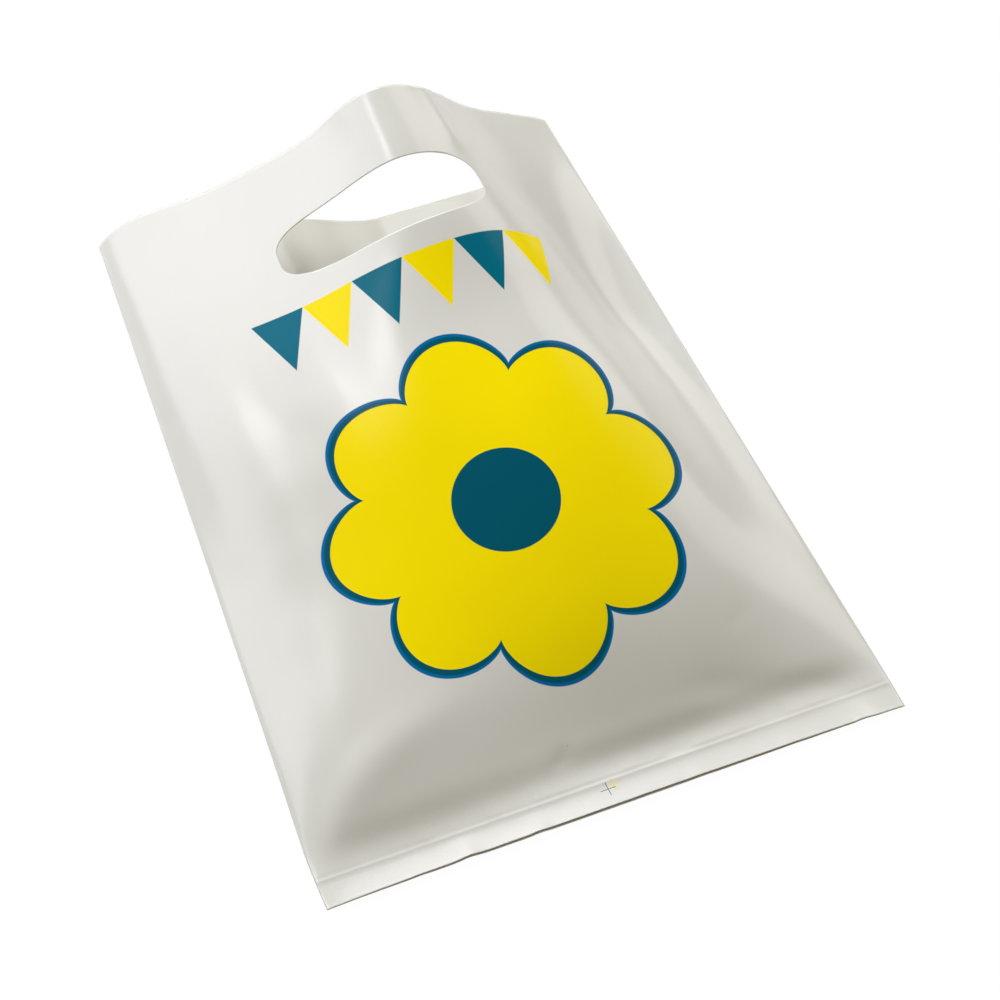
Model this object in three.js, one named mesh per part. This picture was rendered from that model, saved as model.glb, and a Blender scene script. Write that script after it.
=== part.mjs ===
import * as THREE from "three";

// A carrier bag made from one length of blown film tube. The tube is flattened, so its two folds are the
// bag's sides. A weld across it closes the bottom and leaves a short skirt of two layers, the mouth is a
// plain cut, and one punch through both panels makes the hand hole.
// The bag lies on its back panel, with air in it and its mouth standing open.
// Millimetres. X runs across the bag, Y from the weld to the mouth, Z up from the table.

// The film as it was made, flat
const BAG_WIDTH = 200;
const FILM = 0.4;
const SKIRT_LENGTH = 10;
const WELD_WIDTH = 1.6;
const HOLE_WIDTH = 80;
const HOLE_HEIGHT = 25;
const STRIP_WIDTH = 29.5; // film between the hand hole and the mouth rim
const HOLE_SQUARENESS = 3.2; // 2 would be an ellipse, and more is a slot with rounder shoulders

// The print, from the bottom up
const FLOWER_TO_WELD = 32;
const FLOWER_SIDE_MARGIN = 36;
const FLOWER_CENTRE_RADIUS = 18;
const FLOWER_PETALS = 8;
const FLOWER_NOTCH = 14; // depth of the notch between two petals
const PETAL_ROUNDNESS = 0.75; // less is a broader petal with a narrower notch
const OUTLINE_WIDTH = 3.2;
const PENNANTS_TO_FLOWER = 9;
const PENNANT_HEIGHT = 23;
const HOLE_TO_PENNANTS = 9.5;
const PLAIN_COLUMNS = 2; // of the print's square, without a pennant at each end of their row

// The bag as it lies
const MOUTH_GATHER = 28; // how much nearer the two folds are at the mouth than in the flat film
const MOUTH_CORNER_HEIGHT = 25; // of the two folds above the back panel, at the mouth
const LAYER_GAP = 0.3; // between the two layers where they lie together
const SKIRT_LIFT = 1.6; // of the skirt's upper layer at its middle
const WELD_PUCKER = 8; // the film leaves the weld flat and stands half open at about this height
const BACK_BEND = 14; // half the width of the bend between the flat back and its raised flank
const STRIP_BOW = 15; // how far the back panel bows up from the table, left of its hand hole's middle
const STRIP_BOW_OFFSET = 24; // of the top of that bow from the centreline
const STRIP_BOW_REACH = 44; // from its top to where the film lies flat again

// Slope of the front panel in degrees at nine even places from the left fold to the right one, at four
// even heights from the weld to the mouth. Only their proportions count, because the film keeps its width.
// Near the weld the steep part is narrow, so a rounded end falls to the weld between two hips.
const FRONT_SLOPES = [
  [30, 0, -5, -5, 0, 0, 0, 5, -30],
  [20, 10, 5, 5, 5, -5, -10, -30, -15],
  [20, 5, 0, 5, 0, -5, -20, -25, 5],
  [30, 0, 5, 10, 25, -20, -35, -25, -30],
];

// Mesh steps
const COLUMNS = 16; // over the width of the print's square
const SIDE_COLUMNS = 3;
const FOLD_STEP = 1.2; // the last column, next to the fold
const HOLE_ROWS = 8;
const HOLE_RINGS = 5;
const SKIRT_ROWS = 2;
const END_ROWS = [0, 0.14, 0.36, 0.64, 1]; // shares of the way from the weld to the print's square
const SAMPLES_ACROSS = 100;
const SAMPLES_ALONG = 128;
const STEEPEST = 3; // the most that a section's slopes are ever multiplied by, at a place of 60 degrees
const HALVINGS = 30;
const LEAST_CLIMB = 0.4; // share of a row's length that it keeps along Y, however steep the panel

const SIDE = BAG_WIDTH / 2;
const FLOWER_RADIUS = SIDE - FLOWER_SIDE_MARGIN;
const PRINT_MARGIN = FLOWER_SIDE_MARGIN / 3; // plain film inside the print's square
const PRINT_HALF = FLOWER_RADIUS + PRINT_MARGIN;
const FLOWER_CENTRE = FLOWER_TO_WELD + FLOWER_RADIUS;
const PENNANT_BOTTOM = FLOWER_CENTRE + FLOWER_RADIUS + PENNANTS_TO_FLOWER;
const PENNANT_TOP = PENNANT_BOTTOM + PENNANT_HEIGHT;
const HOLE_BOTTOM = PENNANT_TOP + HOLE_TO_PENNANTS;
const HOLE_CENTRE = HOLE_BOTTOM + HOLE_HEIGHT / 2;
const PANEL_LENGTH = HOLE_BOTTOM + HOLE_HEIGHT + STRIP_WIDTH;
const LAYER_STEP = (LAYER_GAP + FILM) / 2; // from the fold's level to the middle of either layer

const mix = (a, b, t) => a + (b - a) * t;
const clamp01 = (t) => Math.min(1, Math.max(0, t));
const smooth = (t) => clamp01(t) ** 2 * (3 - 2 * clamp01(t));
const steps = (from, to, count) =>
  Array.from({ length: count + 1 }, (_, i) => mix(from, to, i / count));

// The value at place q, from 0 to 1, of a smooth curve through a list of even stations
function along(list, q) {
  const place = clamp01(q) * (list.length - 1);
  const i = Math.min(list.length - 2, Math.floor(place));
  const t = place - i;
  const [b, c] = [list[i], list[i + 1]];
  const a = list[i - 1] ?? 2 * b - c;
  const d = list[i + 2] ?? 2 * c - b;
  return b + (t * (c - a + t * (2 * a - 5 * b + 4 * c - d + t * (3 * (b - c) + d - a)))) / 2;
}

// How far the bag has opened at height v, from 0 at the weld to 1 at the mouth
function opening(v) {
  if (v <= 0) return 0;
  const swell = (1 + (WELD_PUCKER / PANEL_LENGTH) ** 2) / (1 + (WELD_PUCKER / v) ** 2);
  return (v / PANEL_LENGTH) * swell;
}
const chord = (v) => BAG_WIDTH - MOUTH_GATHER * opening(v);
const backDepth = (v) => MOUTH_CORNER_HEIGHT * opening(v);
const foldHeight = (v) => FILM + LAYER_GAP / 2 + backDepth(v);

// A curve that starts at the origin and has these slopes, times a factor, over even lengths
function curve(slopes, length, factor) {
  const step = length / slopes.length;
  const points = [[0, 0]];
  for (const slope of slopes) {
    const [x, z] = points.at(-1);
    points.push([x + Math.cos(slope * factor) * step, z + Math.sin(slope * factor) * step]);
  }
  return points;
}

// The front panel's section at height v: a curve as long as the film is wide, over the shorter chord
// between the two folds, with both its ends at the folds' level
function frontSection(v) {
  const t = v / PANEL_LENGTH;
  const slopes = steps(0.5, SAMPLES_ACROSS - 0.5, SAMPLES_ACROSS - 1).map((k) =>
    THREE.MathUtils.degToRad(along(FRONT_SLOPES.map((row) => along(row, k / SAMPLES_ACROSS)), t)),
  );
  const reach = (factor) => Math.hypot(...curve(slopes, BAG_WIDTH, factor).at(-1));
  let [low, high] = [0, STEEPEST];
  for (let i = 0; i < HALVINGS; i++) {
    const factor = (low + high) / 2;
    if (reach(factor) > chord(v)) low = factor;
    else high = factor;
  }
  const points = curve(slopes, BAG_WIDTH, high);
  const [endX, endZ] = points.at(-1);
  const turn = Math.atan2(endZ, endX);
  return points.map(([x, z]) => [
    x * Math.cos(turn) + z * Math.sin(turn) - chord(v) / 2,
    z * Math.cos(turn) - x * Math.sin(turn),
  ]);
}

// The back panel's section: flat on the table, with a flank up to each fold
function backSection(v) {
  const gather = (BAG_WIDTH - chord(v)) / 2;
  const depth = backDepth(v);
  const flank = gather > 0 ? (depth ** 2 / gather + gather) / 2 : 0;
  const tilt = gather > 0 ? Math.asin(Math.min(1, depth / flank)) : 0;
  const bend = Math.min(BACK_BEND, flank / 2 + FILM);
  const slopes = steps(0.5, SAMPLES_ACROSS / 2 - 0.5, SAMPLES_ACROSS / 2 - 1).map((k) => {
    const u = (2 * k * SIDE) / SAMPLES_ACROSS;
    return tilt * smooth((u - (SIDE - flank) + bend) / (2 * bend));
  });
  const half = curve(slopes, SIDE, 1);
  const [endX, endZ] = half.at(-1);
  const fitX = chord(v) / 2 / endX;
  const fitZ = endZ > 0 ? depth / endZ : 0;
  const right = half.map(([x, z]) => [x * fitX, z * fitZ - depth]);
  const left = right.slice(1).reverse().map(([x, z]) => [-x, z]);
  return [...left, ...right].map(([x, z]) => [x, z + stripBow(x, v)]);
}

// The bow of the back panel, which is freed by its hand hole and fades away below it
function stripBow(x, v) {
  const across = smooth(1 - Math.abs(x + STRIP_BOW_OFFSET) / STRIP_BOW_REACH);
  return STRIP_BOW * across * smooth((v - PENNANT_BOTTOM) / (HOLE_CENTRE - PENNANT_BOTTOM));
}

// Both panels sampled on an even grid. The film keeps its length too, so a row stands nearer the weld
// where the panel climbs.
function sample(section) {
  const rows = steps(0, PANEL_LENGTH, SAMPLES_ALONG).map((v) => section(v).map(([x, z]) => [x, 0, z]));
  const length = PANEL_LENGTH / SAMPLES_ALONG;
  for (let k = 1; k < rows.length; k++) {
    rows[k].forEach((point, i) => {
      const before = rows[k - 1][i];
      const rest = length ** 2 - (point[0] - before[0]) ** 2 - (point[2] - before[2]) ** 2;
      point[1] = before[1] + Math.sqrt(Math.max(rest, (length * LEAST_CLIMB) ** 2));
    });
  }
  return rows;
}
const samples = { front: sample(frontSection), back: sample(backSection) };

// The film's middle at place u across the panel and v above the weld
function middle(side, u, v) {
  const up = side === "front" ? 1 : -1;
  if (v <= 0) {
    const across = 1 - (u / SIDE) ** 2;
    const lift = side === "front" ? SKIRT_LIFT * across * (-v / SKIRT_LENGTH) ** 2 : 0;
    return new THREE.Vector3(u, v, foldHeight(0) + up * LAYER_STEP + lift);
  }
  const rows = samples[side];
  const across = clamp01((u + SIDE) / BAG_WIDTH) * SAMPLES_ACROSS;
  const upward = clamp01(v / PANEL_LENGTH) * SAMPLES_ALONG;
  const i = Math.min(SAMPLES_ACROSS - 1, Math.floor(across));
  const k = Math.min(SAMPLES_ALONG - 1, Math.floor(upward));
  const [x, y, z] = [0, 1, 2].map((axis) =>
    mix(
      mix(rows[k][i][axis], rows[k][i + 1][axis], across - i),
      mix(rows[k + 1][i][axis], rows[k + 1][i + 1][axis], across - i),
      upward - k,
    ),
  );
  return new THREE.Vector3(x, y, foldHeight(v) + up * LAYER_STEP + z);
}

// A point of the film's outer or inner face
function facePoint(side, layer, u, v) {
  const outward = layer === "outer" ? 1 : -1;
  if (Math.abs(u) === SIDE) {
    const fold = middle(side, u, v);
    return new THREE.Vector3(fold.x + (Math.sign(u) * outward * FILM) / 2, fold.y, foldHeight(v));
  }
  const atWeld = v >= 0 && v <= WELD_WIDTH;
  if (atWeld) {
    const up = side === "front" ? 1 : -1;
    const level = layer === "outer" ? up * FILM : 0;
    const point = middle(side, u, v);
    return new THREE.Vector3(point.x, point.y, foldHeight(v) + level);
  }
  const reach = FOLD_STEP / 2;
  const acrossFilm = middle(side, u + reach, v).sub(middle(side, u - reach, v));
  const alongFilm = middle(side, u, v + reach).sub(middle(side, u, v - reach));
  const normal = acrossFilm.cross(alongFilm).normalize();
  const turn = (side === "front" ? 1 : -1) * outward;
  return middle(side, u, v).addScaledVector(normal, (turn * FILM) / 2);
}

// Flat places of the film's mesh. Each block gives triangles of [u, v] corners, turning left seen from
// the front, with the colour that is printed there.
const triangles = [];
function quad(a, b, c, d, colour = "film") {
  triangles.push({ corners: [a, b, c], colour }, { corners: [a, c, d], colour });
}

function grid(us, vs) {
  for (let i = 0; i + 1 < us.length; i++) {
    for (let k = 0; k + 1 < vs.length; k++) {
      quad([us[i], vs[k]], [us[i + 1], vs[k]], [us[i + 1], vs[k + 1]], [us[i], vs[k + 1]]);
    }
  }
}

// The places round a rectangle of the grid, from its lower left corner and turning left
function frameOf(us, vs) {
  return [
    ...us.slice(0, -1).map((u) => [u, vs[0]]),
    ...vs.slice(0, -1).map((v) => [us.at(-1), v]),
    ...us.slice(1).reverse().map((u) => [u, vs.at(-1)]),
    ...vs.slice(1).reverse().map((v) => [us[0], v]),
  ];
}

function ring(inner, outer, colour) {
  inner.forEach((point, i) => {
    const next = (i + 1) % inner.length;
    quad(point, outer[i], outer[next], inner[next], colour);
  });
}

const between = (inner, outer, t) =>
  inner.map(([u, v], i) => [mix(u, outer[i][0], t), mix(v, outer[i][1], t)]);

// The hand hole's outline, with one point for each place round its block
function holeOutline(places) {
  return places.map(([u, v]) => {
    const angle = Math.atan2((v - HOLE_CENTRE) / HOLE_HEIGHT, u / HOLE_WIDTH);
    const square = (x) => Math.sign(x) * Math.abs(x) ** (2 / HOLE_SQUARENESS);
    const [u0, v0] = [square(Math.cos(angle)), square(Math.sin(angle))];
    return [(HOLE_WIDTH / 2) * u0, HOLE_CENTRE + (HOLE_HEIGHT / 2) * v0];
  });
}

// A loop of the printed flower, at an even angle for each place round its square
function flowerLoop(count, radiusAt) {
  return Array.from({ length: count }, (_, i) => {
    const angle = (2 * Math.PI * i) / count - (3 * Math.PI) / 4;
    const radius = radiusAt(Math.abs(Math.cos((FLOWER_PETALS / 2) * angle)) ** PETAL_ROUNDNESS);
    return [radius * Math.cos(angle), FLOWER_CENTRE + radius * Math.sin(angle)];
  });
}

function flowerBlock(us, vs) {
  const frame = frameOf(us, vs);
  const valley = FLOWER_RADIUS - FLOWER_NOTCH;
  const edge = flowerLoop(frame.length, (tip) => mix(valley, FLOWER_RADIUS, tip));
  const petals = flowerLoop(frame.length, (tip) => mix(valley, FLOWER_RADIUS, tip) - OUTLINE_WIDTH);
  const heart = flowerLoop(frame.length, () => FLOWER_CENTRE_RADIUS);
  const centre = [0, FLOWER_CENTRE];
  heart.forEach((point, i) => {
    triangles.push({ corners: [centre, point, heart[(i + 1) % heart.length]], colour: "blue" });
  });
  const halfway = between(heart, petals, 0.5);
  ring(heart, halfway, "yellow");
  ring(halfway, petals, "yellow");
  ring(petals, edge, "blue");
  const around = between(edge, frame, 0.5);
  ring(edge, around, "film");
  ring(around, frame, "film");
}

// A row of pennants, pointing down from a straight edge
function pennantRow(us, bottom, top) {
  for (let i = 0; i + 1 < us.length; i += 2) {
    const colour = i % 4 === 0 ? "blue" : "yellow";
    const [left, tip, right] = us.slice(i, i + 3);
    triangles.push({ corners: [[left, bottom], [tip, bottom], [left, top]], colour: "film" });
    triangles.push({ corners: [[tip, bottom], [tip, top], [left, top]], colour });
    triangles.push({ corners: [[tip, bottom], [right, top], [tip, top]], colour });
    triangles.push({ corners: [[tip, bottom], [right, bottom], [right, top]], colour: "film" });
  }
}

function holeBlock(us, vs) {
  const frame = frameOf(us, vs);
  const outline = holeOutline(frame);
  for (let k = 0; k < HOLE_RINGS; k++) {
    ring(between(outline, frame, k / HOLE_RINGS), between(outline, frame, (k + 1) / HOLE_RINGS), "film");
  }
}

const printUs = steps(-PRINT_HALF, PRINT_HALF, COLUMNS);
const sideUs = steps(PRINT_HALF, SIDE - FOLD_STEP, SIDE_COLUMNS).concat(SIDE);
const mirroredUs = sideUs.map((u) => -u).reverse();
const printBottom = FLOWER_CENTRE - PRINT_HALF;
const endVs = END_ROWS.map((t) => mix(WELD_WIDTH, printBottom, t));
const flowerVs = steps(printBottom, PENNANT_BOTTOM, COLUMNS);
const holeVs = steps(PENNANT_TOP, PANEL_LENGTH, HOLE_ROWS);
const allVs = [...endVs, ...flowerVs.slice(1), ...holeVs];

grid(printUs, endVs);
flowerBlock(printUs, flowerVs);
grid(printUs.slice(0, PLAIN_COLUMNS + 1), [PENNANT_BOTTOM, PENNANT_TOP]);
pennantRow(printUs.slice(PLAIN_COLUMNS, -PLAIN_COLUMNS), PENNANT_BOTTOM, PENNANT_TOP);
grid(printUs.slice(-PLAIN_COLUMNS - 1), [PENNANT_BOTTOM, PENNANT_TOP]);
holeBlock(printUs, holeVs);
grid(sideUs, allVs);
grid(mirroredUs, allVs);
const panel = triangles.splice(0);

const allUs = [...mirroredUs, ...printUs.slice(1, -1), ...sideUs];
grid(allUs, [0, WELD_WIDTH]);
const weld = triangles.splice(0);
grid(allUs, steps(-SKIRT_LENGTH, 0, SKIRT_ROWS));
const skirt = triangles.splice(0);

// The closed mesh. The two layers share their points at the folds, and the weld closes the inner faces.
const positions = [];
const indexOf = new Map();
function vertex(side, layer, [u, v]) {
  const shared = Math.abs(u) === SIDE || (layer === "inner" && (v === 0 || v === WELD_WIDTH));
  const key = [shared ? "both" : side, layer, u.toFixed(4), v.toFixed(4)].join(" ");
  if (!indexOf.has(key)) {
    indexOf.set(key, positions.length / 3);
    positions.push(...facePoint(side, layer, u, v).toArray());
  }
  return indexOf.get(key);
}

const faces = { film: [], yellow: [], blue: [] };
const openEdges = new Map();
function layFilm(side, places) {
  for (const { corners, colour } of places) {
    const order = side === "front" ? corners : [...corners].reverse();
    const outer = order.map((corner) => vertex(side, "outer", corner));
    faces[side === "front" ? colour : "film"].push(...outer);
    if (places === weld) continue;
    const inner = order.map((corner) => vertex(side, "inner", corner));
    faces.film.push(...inner.reverse());
  }
}

// The cut edges: the mouth, the hand hole and the skirt
function closeEdges(side, places) {
  for (const { corners } of places) {
    const order = side === "front" ? corners : [...corners].reverse();
    order.forEach((from, i) => {
      const to = order[(i + 1) % 3];
      const pair = [vertex(side, "outer", from), vertex(side, "outer", to)];
      const back = pair.slice().reverse().join(" ");
      if (openEdges.has(back)) openEdges.delete(back);
      else openEdges.set(pair.join(" "), { side, from, to });
    });
  }
}

for (const side of ["front", "back"]) {
  for (const places of [panel, weld, skirt]) {
    layFilm(side, places);
    closeEdges(side, places);
  }
}
for (const { side, from, to } of openEdges.values()) {
  const [outerFrom, outerTo] = [from, to].map((place) => vertex(side, "outer", place));
  const [innerFrom, innerTo] = [from, to].map((place) => vertex(side, "inner", place));
  faces.film.push(outerTo, outerFrom, innerFrom, outerTo, innerFrom, innerTo);
}

const geometry = new THREE.BufferGeometry();
geometry.setAttribute("position", new THREE.Float32BufferAttribute(positions, 3));
geometry.setIndex(Object.values(faces).flat());
let start = 0;
Object.values(faces).forEach((list, slot) => {
  geometry.addGroup(start, list.length, slot);
  start += list.length;
});

// The origin is on the table, under the middle of the bag
geometry.computeBoundingBox();
const { min, max } = geometry.boundingBox;
geometry.translate(-(min.x + max.x) / 2, -(min.y + max.y) / 2, -min.z);
geometry.computeVertexNormals();

const film = new THREE.MeshStandardMaterial({ color: 0xeceae4, roughness: 0.32, metalness: 0 });
const yellowInk = new THREE.MeshStandardMaterial({ color: 0xf0d400, roughness: 0.35, metalness: 0 });
const blueInk = new THREE.MeshStandardMaterial({ color: 0x0b5a78, roughness: 0.35, metalness: 0 });
const bag = new THREE.Mesh(geometry, [film, yellowInk, blueInk]);
bag.name = "bag";

const part = new THREE.Group();
part.add(bag);
export default part;
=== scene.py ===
import bpy
import numpy as np
from mathutils import Euler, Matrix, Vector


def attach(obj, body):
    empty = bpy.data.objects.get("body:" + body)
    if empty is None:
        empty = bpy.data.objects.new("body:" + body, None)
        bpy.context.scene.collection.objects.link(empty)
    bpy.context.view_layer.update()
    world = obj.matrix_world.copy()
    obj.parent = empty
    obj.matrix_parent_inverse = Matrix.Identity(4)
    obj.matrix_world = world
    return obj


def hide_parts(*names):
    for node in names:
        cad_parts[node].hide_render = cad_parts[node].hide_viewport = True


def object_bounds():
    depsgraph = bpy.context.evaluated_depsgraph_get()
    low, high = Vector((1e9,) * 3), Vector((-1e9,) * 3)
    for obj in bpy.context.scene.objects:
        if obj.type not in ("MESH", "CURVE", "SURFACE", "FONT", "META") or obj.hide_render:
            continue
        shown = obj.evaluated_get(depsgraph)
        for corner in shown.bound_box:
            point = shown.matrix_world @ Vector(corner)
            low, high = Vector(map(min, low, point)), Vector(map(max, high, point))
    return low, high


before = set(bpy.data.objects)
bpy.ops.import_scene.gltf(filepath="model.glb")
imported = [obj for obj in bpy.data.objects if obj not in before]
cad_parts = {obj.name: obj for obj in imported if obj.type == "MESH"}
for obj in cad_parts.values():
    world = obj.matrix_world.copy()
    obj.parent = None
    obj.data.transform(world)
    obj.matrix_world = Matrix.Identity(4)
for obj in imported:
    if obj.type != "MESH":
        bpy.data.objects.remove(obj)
cad_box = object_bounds()

# The film, in millimetres: u runs across the bag and v from the bottom weld to the mouth.
BAG_WIDTH = 200.0
SIDE = BAG_WIDTH / 2
SOLID_FILM = 0.4
SHOWN_FILM = 0.12
LAYER_GAP = 0.3
SKIRT_LENGTH = 10.0
WELD_WIDTH = 1.6
HOLE_WIDTH = 80.0
HOLE_HEIGHT = 25.0
STRIP_WIDTH = 29.5
HOLE_SQUARENESS = 3.2

FLOWER_TO_WELD = 32.0
FLOWER_RADIUS = 64.0
FLOWER_CENTRE_RADIUS = 18.0
FLOWER_PETALS = 8
FLOWER_NOTCH = 14.0
PETAL_ROUNDNESS = 0.75
OUTLINE_WIDTH = 3.2
PENNANTS = 6
PENNANT_WIDTH = 19.0
PENNANTS_TO_FLOWER = 9.0
PENNANT_HEIGHT = 23.0
HOLE_TO_PENNANTS = 9.5

FLOWER_CENTRE = FLOWER_TO_WELD + FLOWER_RADIUS
PENNANT_BOTTOM = FLOWER_CENTRE + FLOWER_RADIUS + PENNANTS_TO_FLOWER
PENNANT_TOP = PENNANT_BOTTOM + PENNANT_HEIGHT
HOLE_BOTTOM = PENNANT_TOP + HOLE_TO_PENNANTS
HOLE_TOP = HOLE_BOTTOM + HOLE_HEIGHT
HOLE_CENTRE = HOLE_BOTTOM + HOLE_HEIGHT / 2
PANEL_LENGTH = HOLE_TOP + STRIP_WIDTH

# The bag as it lies
MOUTH_GATHER = 28.0
MOUTH_CORNER_HEIGHT = 25.0
SKIRT_CURL = 0.9  # both layers of the skirt curl up by this much
SKIRT_LIFT = 0.35  # and the front one by this much more at its middle
SKIRT_GAP = 0.06  # between the two layers below the weld
SKIRT_DRAWN = 0.6  # the lifted front edge draws back over the back one by this much
WELD_PUCKER = 14.0
BACK_BEND = 14.0
STRIP_BOW = 15.0
STRIP_BOW_OFFSET = 24.0
STRIP_BOW_REACH = 44.0
FRONT_SLOPES = np.array([
    [30, 0, -5, -5, 0, 0, 0, 5, -30],
    [20, 10, 5, 5, 5, -5, -10, -30, -15],
    [20, 5, 0, 5, 0, -5, -20, -25, 5],
    [30, 0, 5, 10, 25, -20, -35, -25, -30],
], float)

STEP = 1.0  # of the grid on which the film's place is worked out
STEEPEST = 3.0  # the most that a section's slopes are ever multiplied by
HALVINGS = 40
LEAST_CLIMB = 0.4  # share of a row's length that it keeps along Y, however steep the panel
PLACE_REACH = 0.5  # half the span over which the film's slope is measured
FACE_REACH = 0.4
TINY = 1e-6
SEED = 7

# Small forms of the film: heights of the waves, and how far each reaches
BROAD_WAVE = 0.2
FINE_WAVE = 0.04
WELD_WAVE = 0.13
WELD_WAVE_REACH = 7.0
SKIRT_WAVE = 0.06
DIE_WAVE = 0.03
FOLD_CALM = 14.0  # beside each fold the waves fade over this width
WELD_CALM = 4.0
WELD_FADE = 30.0
GROOVE_DEPTH = 0.12
GROOVE_WIDTH = 0.7
SAG_DEPTH = 1.2
SAG_PLACE = 7.0
SAG_REACH = 8.0
HIP_HEIGHT = 1.1
HIP_WIDTH = 8.0
HIP_TOP = 42.0
HIP_RUN = 25.0

# Ridges and grooves of the front film: height, the two ends as (u, v), and width
RIDGES = [
    (-0.6, (98, 1), (30, 21), 5),  # the crease from the lower right corner
    (-0.45, (-15, 9), (-9, 15), 2.4),  # the dimple above the weld
    (-0.2, (54, 33), (66, 38), 2),
    (0.7, (37, 262), (38, 224), 3.5),  # folds of the strip's right side
    (0.35, (46, 262), (43, 222), 1.6),
    (-0.7, (58, 232), (92, 142), 9),  # the trough that runs down from them
    (0.14, (-40, 262), (-31, 212), 1.6),  # small wrinkles on the strip's left side
    (0.1, (-36, 258), (-34, 232), 0.8),
    (0.14, (0, 262), (6, 230), 1.4),
    (0.1, (4, 260), (10, 238), 0.7),
]
# Dents near the left fold: depth, then middle and reach across, then middle and reach along
DENTS = [(0.16, (-90, 8), (106, 12)), (0.14, (-96, 4), (175, 7))]

SHIFT = cad_box[0][1] * 1000 + SKIRT_LENGTH


def smooth(t):
    t = np.clip(t, 0, 1)
    return t * t * (3 - 2 * t)


def bell(x, centre, reach):
    """A smooth hump, 1 at its centre and 0 beyond its reach."""
    return smooth(1 - np.abs(x - centre) / reach)


def cubic(t):
    """Weights of the four stations round a place that is t past the second one."""
    return [
        -0.5 * t + t**2 - 0.5 * t**3,
        1 - 2.5 * t**2 + 1.5 * t**3,
        0.5 * t + 2 * t**2 - 1.5 * t**3,
        -0.5 * t**2 + 0.5 * t**3,
    ]


def stations(places, count):
    """A matrix that turns count even stations into the values at places from 0 to 1."""
    place = np.clip(places, 0, 1) * (count - 1)
    first = np.minimum(count - 2, place.astype(int))
    weights = np.zeros((len(places), count + 2))
    for k, weight in enumerate(cubic(place - first)):
        weights[np.arange(len(places)), first + k] += weight
    ends = np.zeros((count + 2, count))
    ends[1:-1] = np.eye(count)
    ends[0, :2] = 2, -1
    ends[-1, -2:] = -1, 2
    return weights @ ends


def curve(slopes, length):
    """Points along curves with these slopes over even lengths, one curve a row."""
    step = length / slopes.shape[1]
    start = np.zeros((len(slopes), 1))
    x = np.concatenate([start, np.cumsum(np.cos(slopes), 1) * step], 1)
    z = np.concatenate([start, np.cumsum(np.sin(slopes), 1) * step], 1)
    return x, z


def opening(v):
    v = np.maximum(v, 0)
    swell = v**2 / (v**2 + WELD_PUCKER**2) * (1 + (WELD_PUCKER / PANEL_LENGTH) ** 2)
    return v / PANEL_LENGTH * swell


def chord(v):
    return BAG_WIDTH - MOUTH_GATHER * opening(v)


def fold_height(v):
    return SOLID_FILM + LAYER_GAP / 2 + MOUTH_CORNER_HEIGHT * opening(v)


ACROSS = int(BAG_WIDTH / STEP)
ALONG = int(PANEL_LENGTH / STEP)
COLUMN_U = np.linspace(-SIDE, SIDE, ACROSS + 1)
ROW_V = np.linspace(0, PANEL_LENGTH, ALONG + 1)


def front_sections():
    """Each row is a curve as long as the film is wide, over the shorter chord between the folds."""
    middles = (np.arange(ACROSS) + 0.5) / ACROSS
    rows = stations(ROW_V / PANEL_LENGTH, len(FRONT_SLOPES))
    slopes = np.radians(rows @ FRONT_SLOPES @ stations(middles, FRONT_SLOPES.shape[1]).T)
    low, high = np.zeros(len(ROW_V)), np.full(len(ROW_V), STEEPEST)
    for _ in range(HALVINGS):
        factor = (low + high) / 2
        x, z = curve(slopes * factor[:, None], BAG_WIDTH)
        long = np.hypot(x[:, -1], z[:, -1]) > chord(ROW_V)
        low, high = np.where(long, factor, low), np.where(long, high, factor)
    x, z = curve(slopes * high[:, None], BAG_WIDTH)
    turn = np.arctan2(z[:, -1], x[:, -1])[:, None]
    across = x * np.cos(turn) + z * np.sin(turn) - chord(ROW_V)[:, None] / 2
    return across, z * np.cos(turn) - x * np.sin(turn)


def back_sections():
    """Flat on the table, with a flank up to each fold and the bow of the freed strip."""
    gather = np.maximum((BAG_WIDTH - chord(ROW_V)) / 2, TINY)
    depth = MOUTH_CORNER_HEIGHT * opening(ROW_V)
    flank = (depth**2 / gather + gather) / 2
    tilt = np.arcsin(np.minimum(1, depth / flank))
    bend = np.minimum(BACK_BEND, flank / 2 + SOLID_FILM)
    u = (np.arange(ACROSS // 2) + 0.5) * STEP
    past_flat = u - (SIDE - flank - bend)[:, None]
    slopes = tilt[:, None] * smooth(past_flat / (2 * bend[:, None]))
    x, z = curve(slopes, SIDE)
    x *= (chord(ROW_V) / 2 / x[:, -1])[:, None]
    z *= (depth / np.maximum(z[:, -1], TINY))[:, None]
    z -= depth[:, None]
    x = np.concatenate([-x[:, :0:-1], x], 1)
    z = np.concatenate([z[:, :0:-1], z], 1)
    bow = STRIP_BOW * smooth(1 - np.abs(x + STRIP_BOW_OFFSET) / STRIP_BOW_REACH)
    freed = smooth((ROW_V - PENNANT_BOTTOM) / (HOLE_CENTRE - PENNANT_BOTTOM))
    return x, z + bow * freed[:, None]


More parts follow.
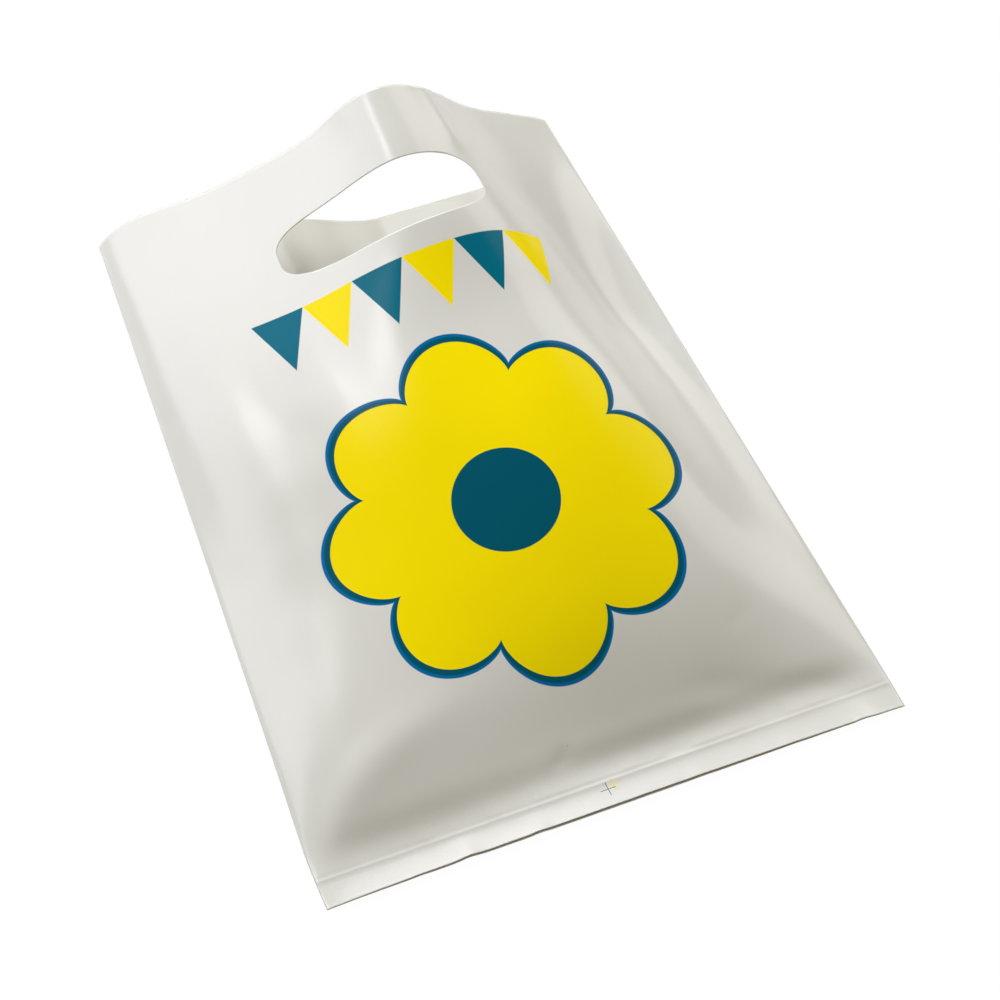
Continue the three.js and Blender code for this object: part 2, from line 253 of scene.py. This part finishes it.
def lay(sections, up):
    """The film's middle on the grid, as an array of points, with the skirt below the weld."""
    x, z = sections()
    rest = STEP**2 - np.diff(x, axis=0) ** 2 - np.diff(z, axis=0) ** 2
    climb = np.cumsum(np.sqrt(np.maximum(rest, (LEAST_CLIMB * STEP) ** 2)), 0)
    y = np.concatenate([np.zeros((1, ACROSS + 1)), climb])
    z += fold_height(ROW_V)[:, None] + up * (LAYER_GAP + SOLID_FILM) / 2
    z[:, [0, -1]] = fold_height(ROW_V)[:, None]
    skirt_v = -np.arange(SKIRT_LENGTH, 0, -STEP)[:, None] + 0 * COLUMN_U
    skirt_u = COLUMN_U + 0 * skirt_v
    level = fold_height(0) + up * (SKIRT_GAP + SHOWN_FILM) / 2
    outward = (skirt_v / SKIRT_LENGTH) ** 2
    curled = level + SKIRT_CURL * (1 - (skirt_u / SIDE) ** 8) * outward
    raised = (1 - (skirt_u / SIDE) ** 2) * outward if up > 0 else 0 * skirt_u
    skirt = np.stack([skirt_u, skirt_v + SKIRT_DRAWN * raised, curled + SKIRT_LIFT * raised], -1)
    skirt[:, [0, -1], 2] = fold_height(0)
    return np.concatenate([skirt, np.stack([x, y, z], -1)])


GRID = {"front": lay(front_sections, 1), "back": lay(back_sections, -1)}


def flat_place(side, u, v):
    """The film's middle before its small forms, at arrays of u and v."""
    grid = GRID[side]
    across = np.clip((u + SIDE) / STEP, 0, ACROSS - TINY)
    along = np.clip((v + SKIRT_LENGTH) / STEP, 0, len(grid) - 1 - TINY)
    i, k = across.astype(int), along.astype(int)
    place = np.zeros((len(u), 3))
    for dk, along_weight in enumerate(cubic(along - k)):
        for di, across_weight in enumerate(cubic(across - i)):
            row = np.clip(k + dk - 1, 0, len(grid) - 1)
            column = np.clip(i + di - 1, 0, ACROSS)
            place += grid[row, column] * (along_weight * across_weight)[:, None]
    return place


rng = np.random.default_rng(SEED)


def ripples(size, count=40):
    """A smooth random field of about unit height, with forms about size = (across, along) wide."""
    wave = rng.normal(size=(count, 2)) / np.array(size)
    phase = rng.uniform(0, 2 * np.pi, count)

    def field(u, v):
        angle = np.outer(u, wave[:, 0]) + np.outer(v, wave[:, 1]) + phase
        return np.cos(angle).sum(1) * np.sqrt(2 / count)

    return field


broad = {side: ripples((16, 34)) for side in GRID}
fine = {side: ripples((5, 9)) for side in GRID}
die_lines = ripples((1.6, 60), 60)
pucker_waves = {side: ripples((3.2, 9)) for side in GRID}
skirt_waves = ripples((3.5, 30))


def line(u, v, start, end, width):
    """A straight ridge of height 1 on the film that fades towards both its ends."""
    start, along = np.array(start), np.array(end) - np.array(start)
    length = np.hypot(*along)
    share = ((u - start[0]) * along[0] + (v - start[1]) * along[1]) / length**2
    off = ((u - start[0]) * along[1] - (v - start[1]) * along[0]) / length
    return np.exp(-((off / width) ** 2)) * smooth(share * 4) * smooth((1 - share) * 4)


def small_forms(side, u, v):
    """How far the film stands out from its plain shape, along its normal, in millimetres."""
    from_fold = SIDE - np.abs(u)
    free = smooth(from_fold / FOLD_CALM)
    body = smooth((v - WELD_CALM) / WELD_FADE)
    height = free * body * (BROAD_WAVE * broad[side](u, v) + FINE_WAVE * fine[side](u, v))
    near_weld = np.exp(-np.maximum(v, 0) / WELD_WAVE_REACH) * smooth(np.abs(v - WELD_WIDTH / 2) / 1.2)
    height += free * np.where(v > 0, near_weld, 0) * WELD_WAVE * pucker_waves[side](u, v)
    below = np.clip(-v / SKIRT_LENGTH, 0, 1)
    wave = smooth(from_fold / 6) * below * SKIRT_WAVE * skirt_waves(u, v) ** 2
    height += wave if side == "front" else -wave
    if side == "front":
        groove = np.exp(-(((v - WELD_WIDTH / 2) / GROOVE_WIDTH) ** 2))
        height -= GROOVE_DEPTH * groove * smooth(from_fold / 2)
        # the film stays low just above the weld, most of all right of the middle
        sag = bell(v, SAG_PLACE, SAG_REACH) * smooth(from_fold / 25)
        height -= SAG_DEPTH * sag * (0.5 + 0.5 * bell(u, 30, 80))
        # the hip that curves up from the lower left corner
        hip_v = HIP_TOP * (1 - np.exp(-(u + SIDE) / HIP_RUN))
        hip = np.exp(-(((v - hip_v) / HIP_WIDTH) ** 2)) * smooth((u + SIDE) / 12)
        height += HIP_HEIGHT * hip * bell(u, -66, 46)
        for rise, foot, top, width in RIDGES:
            height += rise * line(u, v, foot, top, width)
        for depth, across, along in DENTS:
            height -= depth * bell(u, *across) * bell(v, *along)
        # fine lines that the die left along the film
        height += free * DIE_WAVE * die_lines(u, v) * bell(u, -45, 50) * smooth((v - 150) / 60)
    return height


def place(side, u, v):
    """The film's middle with its small forms, never below the table."""
    across = flat_place(side, u + PLACE_REACH, v) - flat_place(side, u - PLACE_REACH, v)
    along = flat_place(side, u, v + PLACE_REACH) - flat_place(side, u, v - PLACE_REACH)
    normal = np.cross(across, along)
    normal /= np.linalg.norm(normal, axis=1)[:, None]
    turn = 1 if side == "front" else -1
    point = flat_place(side, u, v) + normal * (turn * small_forms(side, u, v))[:, None]
    point[:, 2] = np.maximum(point[:, 2], SHOWN_FILM)
    return point


def face_place(side, layer, u, v):
    """Points of the film's outer or inner face."""
    right, left = np.minimum(u + FACE_REACH, SIDE), np.maximum(u - FACE_REACH, -SIDE)
    across = place(side, right, v) - place(side, left, v)
    along = place(side, u, v + FACE_REACH) - place(side, u, v - FACE_REACH)
    normal = np.cross(across, along)
    normal /= np.linalg.norm(normal, axis=1)[:, None]
    outward = (1 if side == "front" else -1) * (1 if layer == "outer" else -1)
    fold = np.abs(u) == SIDE
    sideways = np.stack([np.sign(u), 0 * u, 0 * u], -1) * (1 if layer == "outer" else -1)
    direction = np.where(fold[:, None], sideways, normal * outward)
    point = place(side, u, v) + direction * SHOWN_FILM / 2
    at_weld = (v >= 0) & (v <= WELD_WIDTH) & ~fold
    if layer == "inner":
        point[at_weld, 2] = fold_height(v[at_weld])
    return point


# The film's flat mesh: a grid, with rings round the hand hole in a block of their own
def spread(start, stop, step):
    return np.linspace(start, stop, int(round((stop - start) / step)) + 1)


HOLE_MARGIN = 10.0  # of the block round the hand hole
MESH_STEP = 2.0
FOOT_TOP = 12.0  # the mesh is finer up to here
fold_steps = np.array([0, 0.4, 1.0])
hole_half = HOLE_WIDTH / 2 + HOLE_MARGIN
us = np.concatenate([
    fold_steps - SIDE,
    spread(MESH_STEP - SIDE, SIDE - MESH_STEP, MESH_STEP),
    SIDE - fold_steps[::-1],
])
block_bottom, block_top = HOLE_BOTTOM - HOLE_MARGIN, HOLE_TOP + HOLE_MARGIN
vs = np.concatenate([
    [-SKIRT_LENGTH, -9.5],
    spread(-8.5, -1.0, 1.25),
    [-0.4, 0, 0.5, 1.1, WELD_WIDTH],
    spread(2.4, FOOT_TOP, 1.2),
    spread(FOOT_TOP, block_bottom, MESH_STEP)[1:],
    spread(block_bottom, block_top, 1.5)[1:],
    spread(block_top, PANEL_LENGTH - 1, 1.8)[1:],
    [PANEL_LENGTH],
])
quads = []
for i in range(len(us) - 1):
    for k in range(len(vs) - 1):
        (left, right), (low, high) = us[i:i + 2], vs[k:k + 2]
        in_block = block_bottom < (low + high) / 2 < block_top
        if abs(left + right) / 2 < hole_half and in_block:
            continue
        quads.append([(left, low), (right, low), (right, high), (left, high)])

block_us = us[(us >= -hole_half) & (us <= hole_half)]
block_vs = vs[(vs >= block_bottom - TINY) & (vs <= block_top + TINY)]
around = (
    [(u, block_vs[0]) for u in block_us[:-1]]
    + [(block_us[-1], v) for v in block_vs[:-1]]
    + [(u, block_vs[-1]) for u in block_us[:0:-1]]
    + [(block_us[0], v) for v in block_vs[:0:-1]]
)


def hole_point(u, v):
    angle = np.arctan2((v - HOLE_CENTRE) / HOLE_HEIGHT, u / HOLE_WIDTH)
    square = [np.sign(x) * abs(x) ** (2 / HOLE_SQUARENESS) for x in (np.cos(angle), np.sin(angle))]
    return HOLE_WIDTH / 2 * square[0], HOLE_CENTRE + HOLE_HEIGHT / 2 * square[1]


RINGS = [0, 0.05, 0.14, 0.26, 0.4, 0.55, 0.7, 0.85, 1]
loops = []
for t in RINGS:
    loop = []
    for u, v in around:
        inner = hole_point(u, v)
        loop.append((inner[0] + (u - inner[0]) * t, inner[1] + (v - inner[1]) * t))
    loops.append(loop)
for inner, outer in zip(loops, loops[1:]):
    for k in range(len(around)):
        n = (k + 1) % len(around)
        quads.append([inner[k], outer[k], outer[n], inner[n]])

index, flat = {}, []


def flat_index(point):
    key = (round(point[0], 4), round(point[1], 4))
    if key not in index:
        index[key] = len(flat)
        flat.append(key)
    return index[key]


quads = np.array([[flat_index(p) for p in quad] for quad in quads])
flat = np.array(flat)
flat_u, flat_v = flat[:, 0], flat[:, 1]
count = len(flat)

SIDES = [("front", "outer"), ("front", "inner"), ("back", "outer"), ("back", "inner")]
points = np.concatenate([face_place(side, layer, flat_u, flat_v) for side, layer in SIDES])
owner = np.arange(4 * count).reshape(4, count)
at_fold = np.abs(flat_u) == SIDE
owner[2, at_fold] = owner[0, at_fold]
owner[3, at_fold] = owner[1, at_fold]
weld_line = np.isin(np.round(flat_v, 3), np.round([0, WELD_WIDTH], 3))
owner[3, weld_line] = owner[1, weld_line]

faces, materials = [], []
middle_v = flat_v[quads].mean(1)
in_weld = (middle_v > 0) & (middle_v < WELD_WIDTH)
for layer_index, (side, layer) in enumerate(SIDES):
    chosen = quads if layer == "outer" else quads[~in_weld]
    flip = (side == "front") != (layer == "outer")
    found = owner[layer_index][chosen]
    faces.append(found[:, ::-1] if flip else found)
    materials += [0 if layer_index == 0 else 1] * len(chosen)

edges = np.concatenate([quads[:, [k, (k + 1) % 4]] for k in range(4)])
_, inverse, uses = np.unique(np.sort(edges, 1), axis=0, return_inverse=True, return_counts=True)
rim = edges[(uses[inverse.ravel()] == 1) & ~(at_fold[edges].all(1))]
for outer, inner, flip in ((0, 1, False), (2, 3, True)):
    outer_pair, inner_pair = owner[outer][rim[:, ::-1]], owner[inner][rim]
    cut_edge = np.concatenate([outer_pair, inner_pair], 1)
    faces.append(cut_edge[:, ::-1] if flip else cut_edge)
    materials += [1] * len(cut_edge)
faces = np.concatenate(faces)

used, renumbered = np.unique(faces, return_inverse=True)
renumbered = renumbered.reshape(faces.shape)
points = points[used] / 1000
points[:, 1] += SHIFT / 1000
film_places = np.tile(flat, (4, 1))[used] / 1000

mesh = bpy.data.meshes.new("bag_film")
mesh.from_pydata(points.tolist(), [], renumbered.tolist())
uv_layer = mesh.uv_layers.new(name="film")
corner = np.empty(len(mesh.loops), int)
mesh.loops.foreach_get("vertex_index", corner)
uv_layer.data.foreach_set("uv", film_places[corner].ravel())
mesh.polygons.foreach_set("material_index", np.array(materials, np.int32))
mesh.polygons.foreach_set("use_smooth", np.ones(len(mesh.polygons), bool))
mesh.update()
mesh.validate()
bag = bpy.data.objects.new("bag_film", mesh)
bpy.context.scene.collection.objects.link(bag)


class Nodes:
    """Short calls for building a material's nodes."""

    def __init__(self, name):
        self.material = bpy.data.materials.new(name)
        self.material.use_nodes = True
        self.tree = self.material.node_tree
        self.tree.nodes.clear()

    def add(self, kind, inputs=(), **settings):
        node = self.tree.nodes.new(kind)
        for key, value in settings.items():
            setattr(node, key, value)
        for key, value in dict(inputs).items():
            if isinstance(value, bpy.types.NodeSocket):
                self.tree.links.new(value, node.inputs[key])
            else:
                node.inputs[key].default_value = value
        return node

    def math(self, operation, *values, clamp=False):
        node = self.add("ShaderNodeMath", enumerate(values), operation=operation, use_clamp=clamp)
        return node.outputs[0]

    def above(self, value, limit, soft):
        """0 below the limit and 1 above it, with an edge of this width."""
        return self.add("ShaderNodeMapRange", {
            "Value": value, "From Min": limit - soft, "From Max": limit + soft,
        }).outputs[0]

    def mix(self, factor, a, b):
        node = self.add("ShaderNodeMix", data_type="RGBA")
        for socket, value in ((node.inputs[0], factor), (node.inputs[6], a), (node.inputs[7], b)):
            if isinstance(value, bpy.types.NodeSocket):
                self.tree.links.new(value, socket)
            else:
                socket.default_value = value
        return node.outputs[2]


def linear(*rgb):
    """A colour of 0 to 255 parts, as a linear one."""
    parts = np.array(rgb) / 255
    return [*np.where(parts < 0.04045, parts / 12.92, ((parts + 0.055) / 1.055) ** 2.4), 1.0]


FRONT_FILM = linear(223, 222, 219)
# the film's inner faces, back and cut edges: the same white film, with painted shade that makes it
# darker and warmer
FILM_PAINTED_SHADE = linear(207, 205, 196)
YELLOW_INK = linear(254, 229, 1)
TEAL_INK = linear(1, 86, 108)
BRIGHT_TEAL_INK = linear(1, 108, 134)
BLUE_INK = linear(2, 106, 168)
FILM_SHINE = 0.4
INK_SHINE = 0.06
OVERLAP = 1.2  # width of the bluer line along the outline's outer side
INK_EDGE = 0.12  # half the width over which an ink's edge fades
ROUGHNESS = (0.12, 0.26)
CLOUD_SCALE = 26.0
STREAK_SCALE = 420.0
STREAK_STRETCH = 0.06
PEEL_SCALE = 900.0
# The printer's cross: middle of each as (u, v), with its ink
CROSSES = [((-0.2, -1.9), linear(250, 228, 40)), ((-2.4, -2.9), linear(20, 110, 150))]
CROSS_ARM = 2.6
CROSS_LINE = 0.14  # half the width of a line of it


def film_material(name, printed):
    n = Nodes(name)
    uv = n.add("ShaderNodeUVMap", uv_map="film").outputs[0]
    metres = n.add("ShaderNodeSeparateXYZ", {0: uv})
    u = n.math("MULTIPLY", metres.outputs[0], 1000.0)
    v = n.math("MULTIPLY", metres.outputs[1], 1000.0)
    cloud = n.add("ShaderNodeTexNoise", {
        "Vector": uv, "Scale": CLOUD_SCALE, "Detail": 3.0, "Roughness": 0.5,
    })
    stretch = (1.0, STREAK_STRETCH, 1.0)
    streak_place = n.add("ShaderNodeVectorMath", {0: uv, 1: stretch}, operation="MULTIPLY")
    streaks = n.add("ShaderNodeTexNoise", {
        "Vector": streak_place.outputs[0], "Scale": STREAK_SCALE, "Detail": 2.0, "Roughness": 0.55,
    })
    orange_peel = n.add("ShaderNodeTexNoise", {"Vector": uv, "Scale": PEEL_SCALE, "Detail": 2.0})
    # unprinted faces take the film colour with painted shade
    colour = FRONT_FILM if printed else FILM_PAINTED_SHADE
    roughness = n.add("ShaderNodeMapRange", {
        "Value": cloud.outputs[0], "To Min": ROUGHNESS[0], "To Max": ROUGHNESS[1],
    }).outputs[0]
    shine = FILM_SHINE
    if printed:
        # the flower, from its distance and angle round its centre
        up = n.math("SUBTRACT", v, FLOWER_CENTRE)
        squares = n.math("ADD", n.math("MULTIPLY", u, u), n.math("MULTIPLY", up, up))
        radius = n.math("SQRT", squares)
        angle = n.math("ARCTAN2", up, u)
        petal = n.math("ABSOLUTE", n.math("COSINE", n.math("MULTIPLY", angle, FLOWER_PETALS / 2)))
        tip = n.math("POWER", petal, PETAL_ROUNDNESS)
        edge = n.math("MULTIPLY_ADD", tip, FLOWER_NOTCH, FLOWER_RADIUS - FLOWER_NOTCH)
        inside = n.math("SUBTRACT", edge, radius)
        whole = n.above(inside, 0, INK_EDGE)
        over = n.above(inside, OVERLAP, INK_EDGE)
        petals = n.above(inside, OUTLINE_WIDTH, INK_EDGE)
        heart = n.above(n.math("SUBTRACT", FLOWER_CENTRE_RADIUS, radius), 0, INK_EDGE)
        # the pennants, from the place across each of them
        row_half = PENNANTS * PENNANT_WIDTH / 2
        count_across = n.math("DIVIDE", n.math("ADD", u, row_half), PENNANT_WIDTH)
        share = n.math("FRACT", count_across)
        from_tip = n.math("ABSOLUTE", n.math("SUBTRACT", share, 0.5))
        level = n.math("DIVIDE", n.math("SUBTRACT", v, PENNANT_BOTTOM), PENNANT_HEIGHT)
        in_pennant = n.math("SUBTRACT", n.math("MULTIPLY", level, 0.5), from_tip)
        below_top = n.math("SUBTRACT", 1.0, n.above(level, 1, 0.005))
        pennant = n.math("MULTIPLY", n.above(in_pennant, 0, INK_EDGE / PENNANT_WIDTH), below_top)
        within = n.above(n.math("SUBTRACT", row_half, n.math("ABSOLUTE", u)), 0, INK_EDGE)
        pennant = n.math("MULTIPLY", pennant, within)
        odd = n.above(n.math("FRACT", n.math("MULTIPLY", count_across, 0.5)), 0.5, 0.001)
        even = n.math("SUBTRACT", 1.0, odd)
        colour = n.mix(whole, colour, BLUE_INK)
        colour = n.mix(over, colour, TEAL_INK)
        colour = n.mix(petals, colour, YELLOW_INK)
        colour = n.mix(heart, colour, TEAL_INK)
        colour = n.mix(n.math("MULTIPLY", pennant, even), colour, BRIGHT_TEAL_INK)
        colour = n.mix(n.math("MULTIPLY", pennant, odd), colour, YELLOW_INK)
        # the small cross by which the printer lines up the two inks
        for (cu, cv), ink in CROSSES:
            du = n.math("ABSOLUTE", n.math("SUBTRACT", u, cu))
            dv = n.math("ABSOLUTE", n.math("SUBTRACT", v, cv))
            near = n.math("LESS_THAN", n.math("MAXIMUM", du, dv), CROSS_ARM)
            on_line = n.math("LESS_THAN", n.math("MINIMUM", du, dv), CROSS_LINE)
            colour = n.mix(n.math("MULTIPLY", near, on_line), colour, ink)
        inked = n.math("MAXIMUM", whole, pennant)
        shine = n.math("MULTIPLY_ADD", inked, INK_SHINE - FILM_SHINE, FILM_SHINE)
    height = n.math("MULTIPLY_ADD", streaks.outputs[0], 0.6, orange_peel.outputs[0])
    bump = n.add("ShaderNodeBump", {"Height": height, "Strength": 0.05, "Distance": 0.0004})
    shader = n.add("ShaderNodeBsdfPrincipled", {
        "Base Color": colour, "Roughness": roughness, "Normal": bump.outputs[0], "IOR": 1.51,
        "Specular IOR Level": shine,
    })
    n.add("ShaderNodeOutputMaterial", {"Surface": shader.outputs[0]})
    return n.material


mesh.materials.append(film_material("printed_film", True))
# the second material is the white film darkened and warmed by painted shade
mesh.materials.append(film_material("film_painted_shade", False))
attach(bag, "root")
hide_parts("bag")

# The floor
FLOOR_REACH = 6.0
FLOOR_DROP = 0.0003
FLOOR_GLOW = 1.015
GLOW_SHARE = 0.96  # the rest of what the camera sees of the floor takes the shadow
floor_corners = [(x * FLOOR_REACH, y * FLOOR_REACH, 0) for x, y in ((-1, -1), (1, -1), (1, 1), (-1, 1))]
floor_mesh = bpy.data.meshes.new("floor")
floor_mesh.from_pydata(floor_corners, [], [(0, 1, 2, 3)])
floor = bpy.data.objects.new("floor", floor_mesh)
floor.location.z = -FLOOR_DROP
bpy.context.scene.collection.objects.link(floor)
n = Nodes("floor_white")
seen = n.add("ShaderNodeLightPath").outputs["Is Camera Ray"]
matt = n.add("ShaderNodeBsdfDiffuse", {"Color": (0.8, 0.8, 0.8, 1)})
glow = n.add("ShaderNodeEmission", {"Color": (1, 1, 1, 1), "Strength": FLOOR_GLOW})
share = n.math("MULTIPLY", seen, GLOW_SHARE)
both = n.add("ShaderNodeMixShader", {0: share, 1: matt.outputs[0], 2: glow.outputs[0]})
n.add("ShaderNodeOutputMaterial", {"Surface": both.outputs[0]})
floor_mesh.materials.append(n.material)

# Light
AMBIENT_COLOUR = (1.0, 0.945, 0.72, 1)
AMBIENT_STRENGTH = 0.3
world = bpy.data.worlds.new("studio")
bpy.context.scene.world = world
world.use_nodes = True
tree = world.node_tree
tree.nodes.clear()
path = tree.nodes.new("ShaderNodeLightPath")
shown = tree.nodes.new("ShaderNodeMath")
shown.operation = "MAXIMUM"
tree.links.new(path.outputs["Is Camera Ray"], shown.inputs[0])
tree.links.new(path.outputs["Is Transmission Ray"], shown.inputs[1])
ambient = tree.nodes.new("ShaderNodeBackground")
ambient.inputs[0].default_value = AMBIENT_COLOUR
ambient.inputs[1].default_value = AMBIENT_STRENGTH
white = tree.nodes.new("ShaderNodeBackground")
white.inputs[0].default_value = (1, 1, 1, 1)
white.inputs[1].default_value = 1.0
mixed = tree.nodes.new("ShaderNodeMixShader")
tree.links.new(shown.outputs[0], mixed.inputs[0])
tree.links.new(ambient.outputs[0], mixed.inputs[1])
tree.links.new(white.outputs[0], mixed.inputs[2])
out = tree.nodes.new("ShaderNodeOutputWorld")
tree.links.new(mixed.outputs[0], out.inputs[0])


def lamp(name, location, size, power, colour=(1, 1, 1)):
    """A soft rectangular lamp that faces the middle of the bag."""
    data = bpy.data.lights.new(name, "AREA")
    data.shape = "RECTANGLE"
    data.size, data.size_y = size
    data.energy = power
    data.color = colour
    holder = bpy.data.objects.new(name, data)
    holder.location = location
    from_lamp = -holder.location.normalized()
    holder.rotation_euler = from_lamp.to_track_quat("-Z", "Y").to_euler()
    bpy.context.scene.collection.objects.link(holder)


lamp("key", (-0.48, 1.25, 1.1), (2.2, 1.5), 38.0, (0.92, 0.94, 1.0))
lamp("fill", (1.3, 0.7, 0.9), (1.2, 1.0), 8.0, (1.0, 0.99, 0.95))
lamp("spark", (-0.46, 0.68, 1.58), (0.25, 0.25), 1.8)

camera_data = bpy.data.cameras.new("camera")
camera_data.sensor_width = 36
camera_data.lens = 98.79
camera = bpy.data.objects.new("camera", camera_data)
camera.location = (-0.22524, -0.52566, 0.74637)
camera.rotation_euler = Euler((0.65234, -0.02259, -0.39635))
bpy.context.scene.collection.objects.link(camera)
bpy.context.scene.camera = camera
bpy.context.scene.view_settings.view_transform = "Standard"
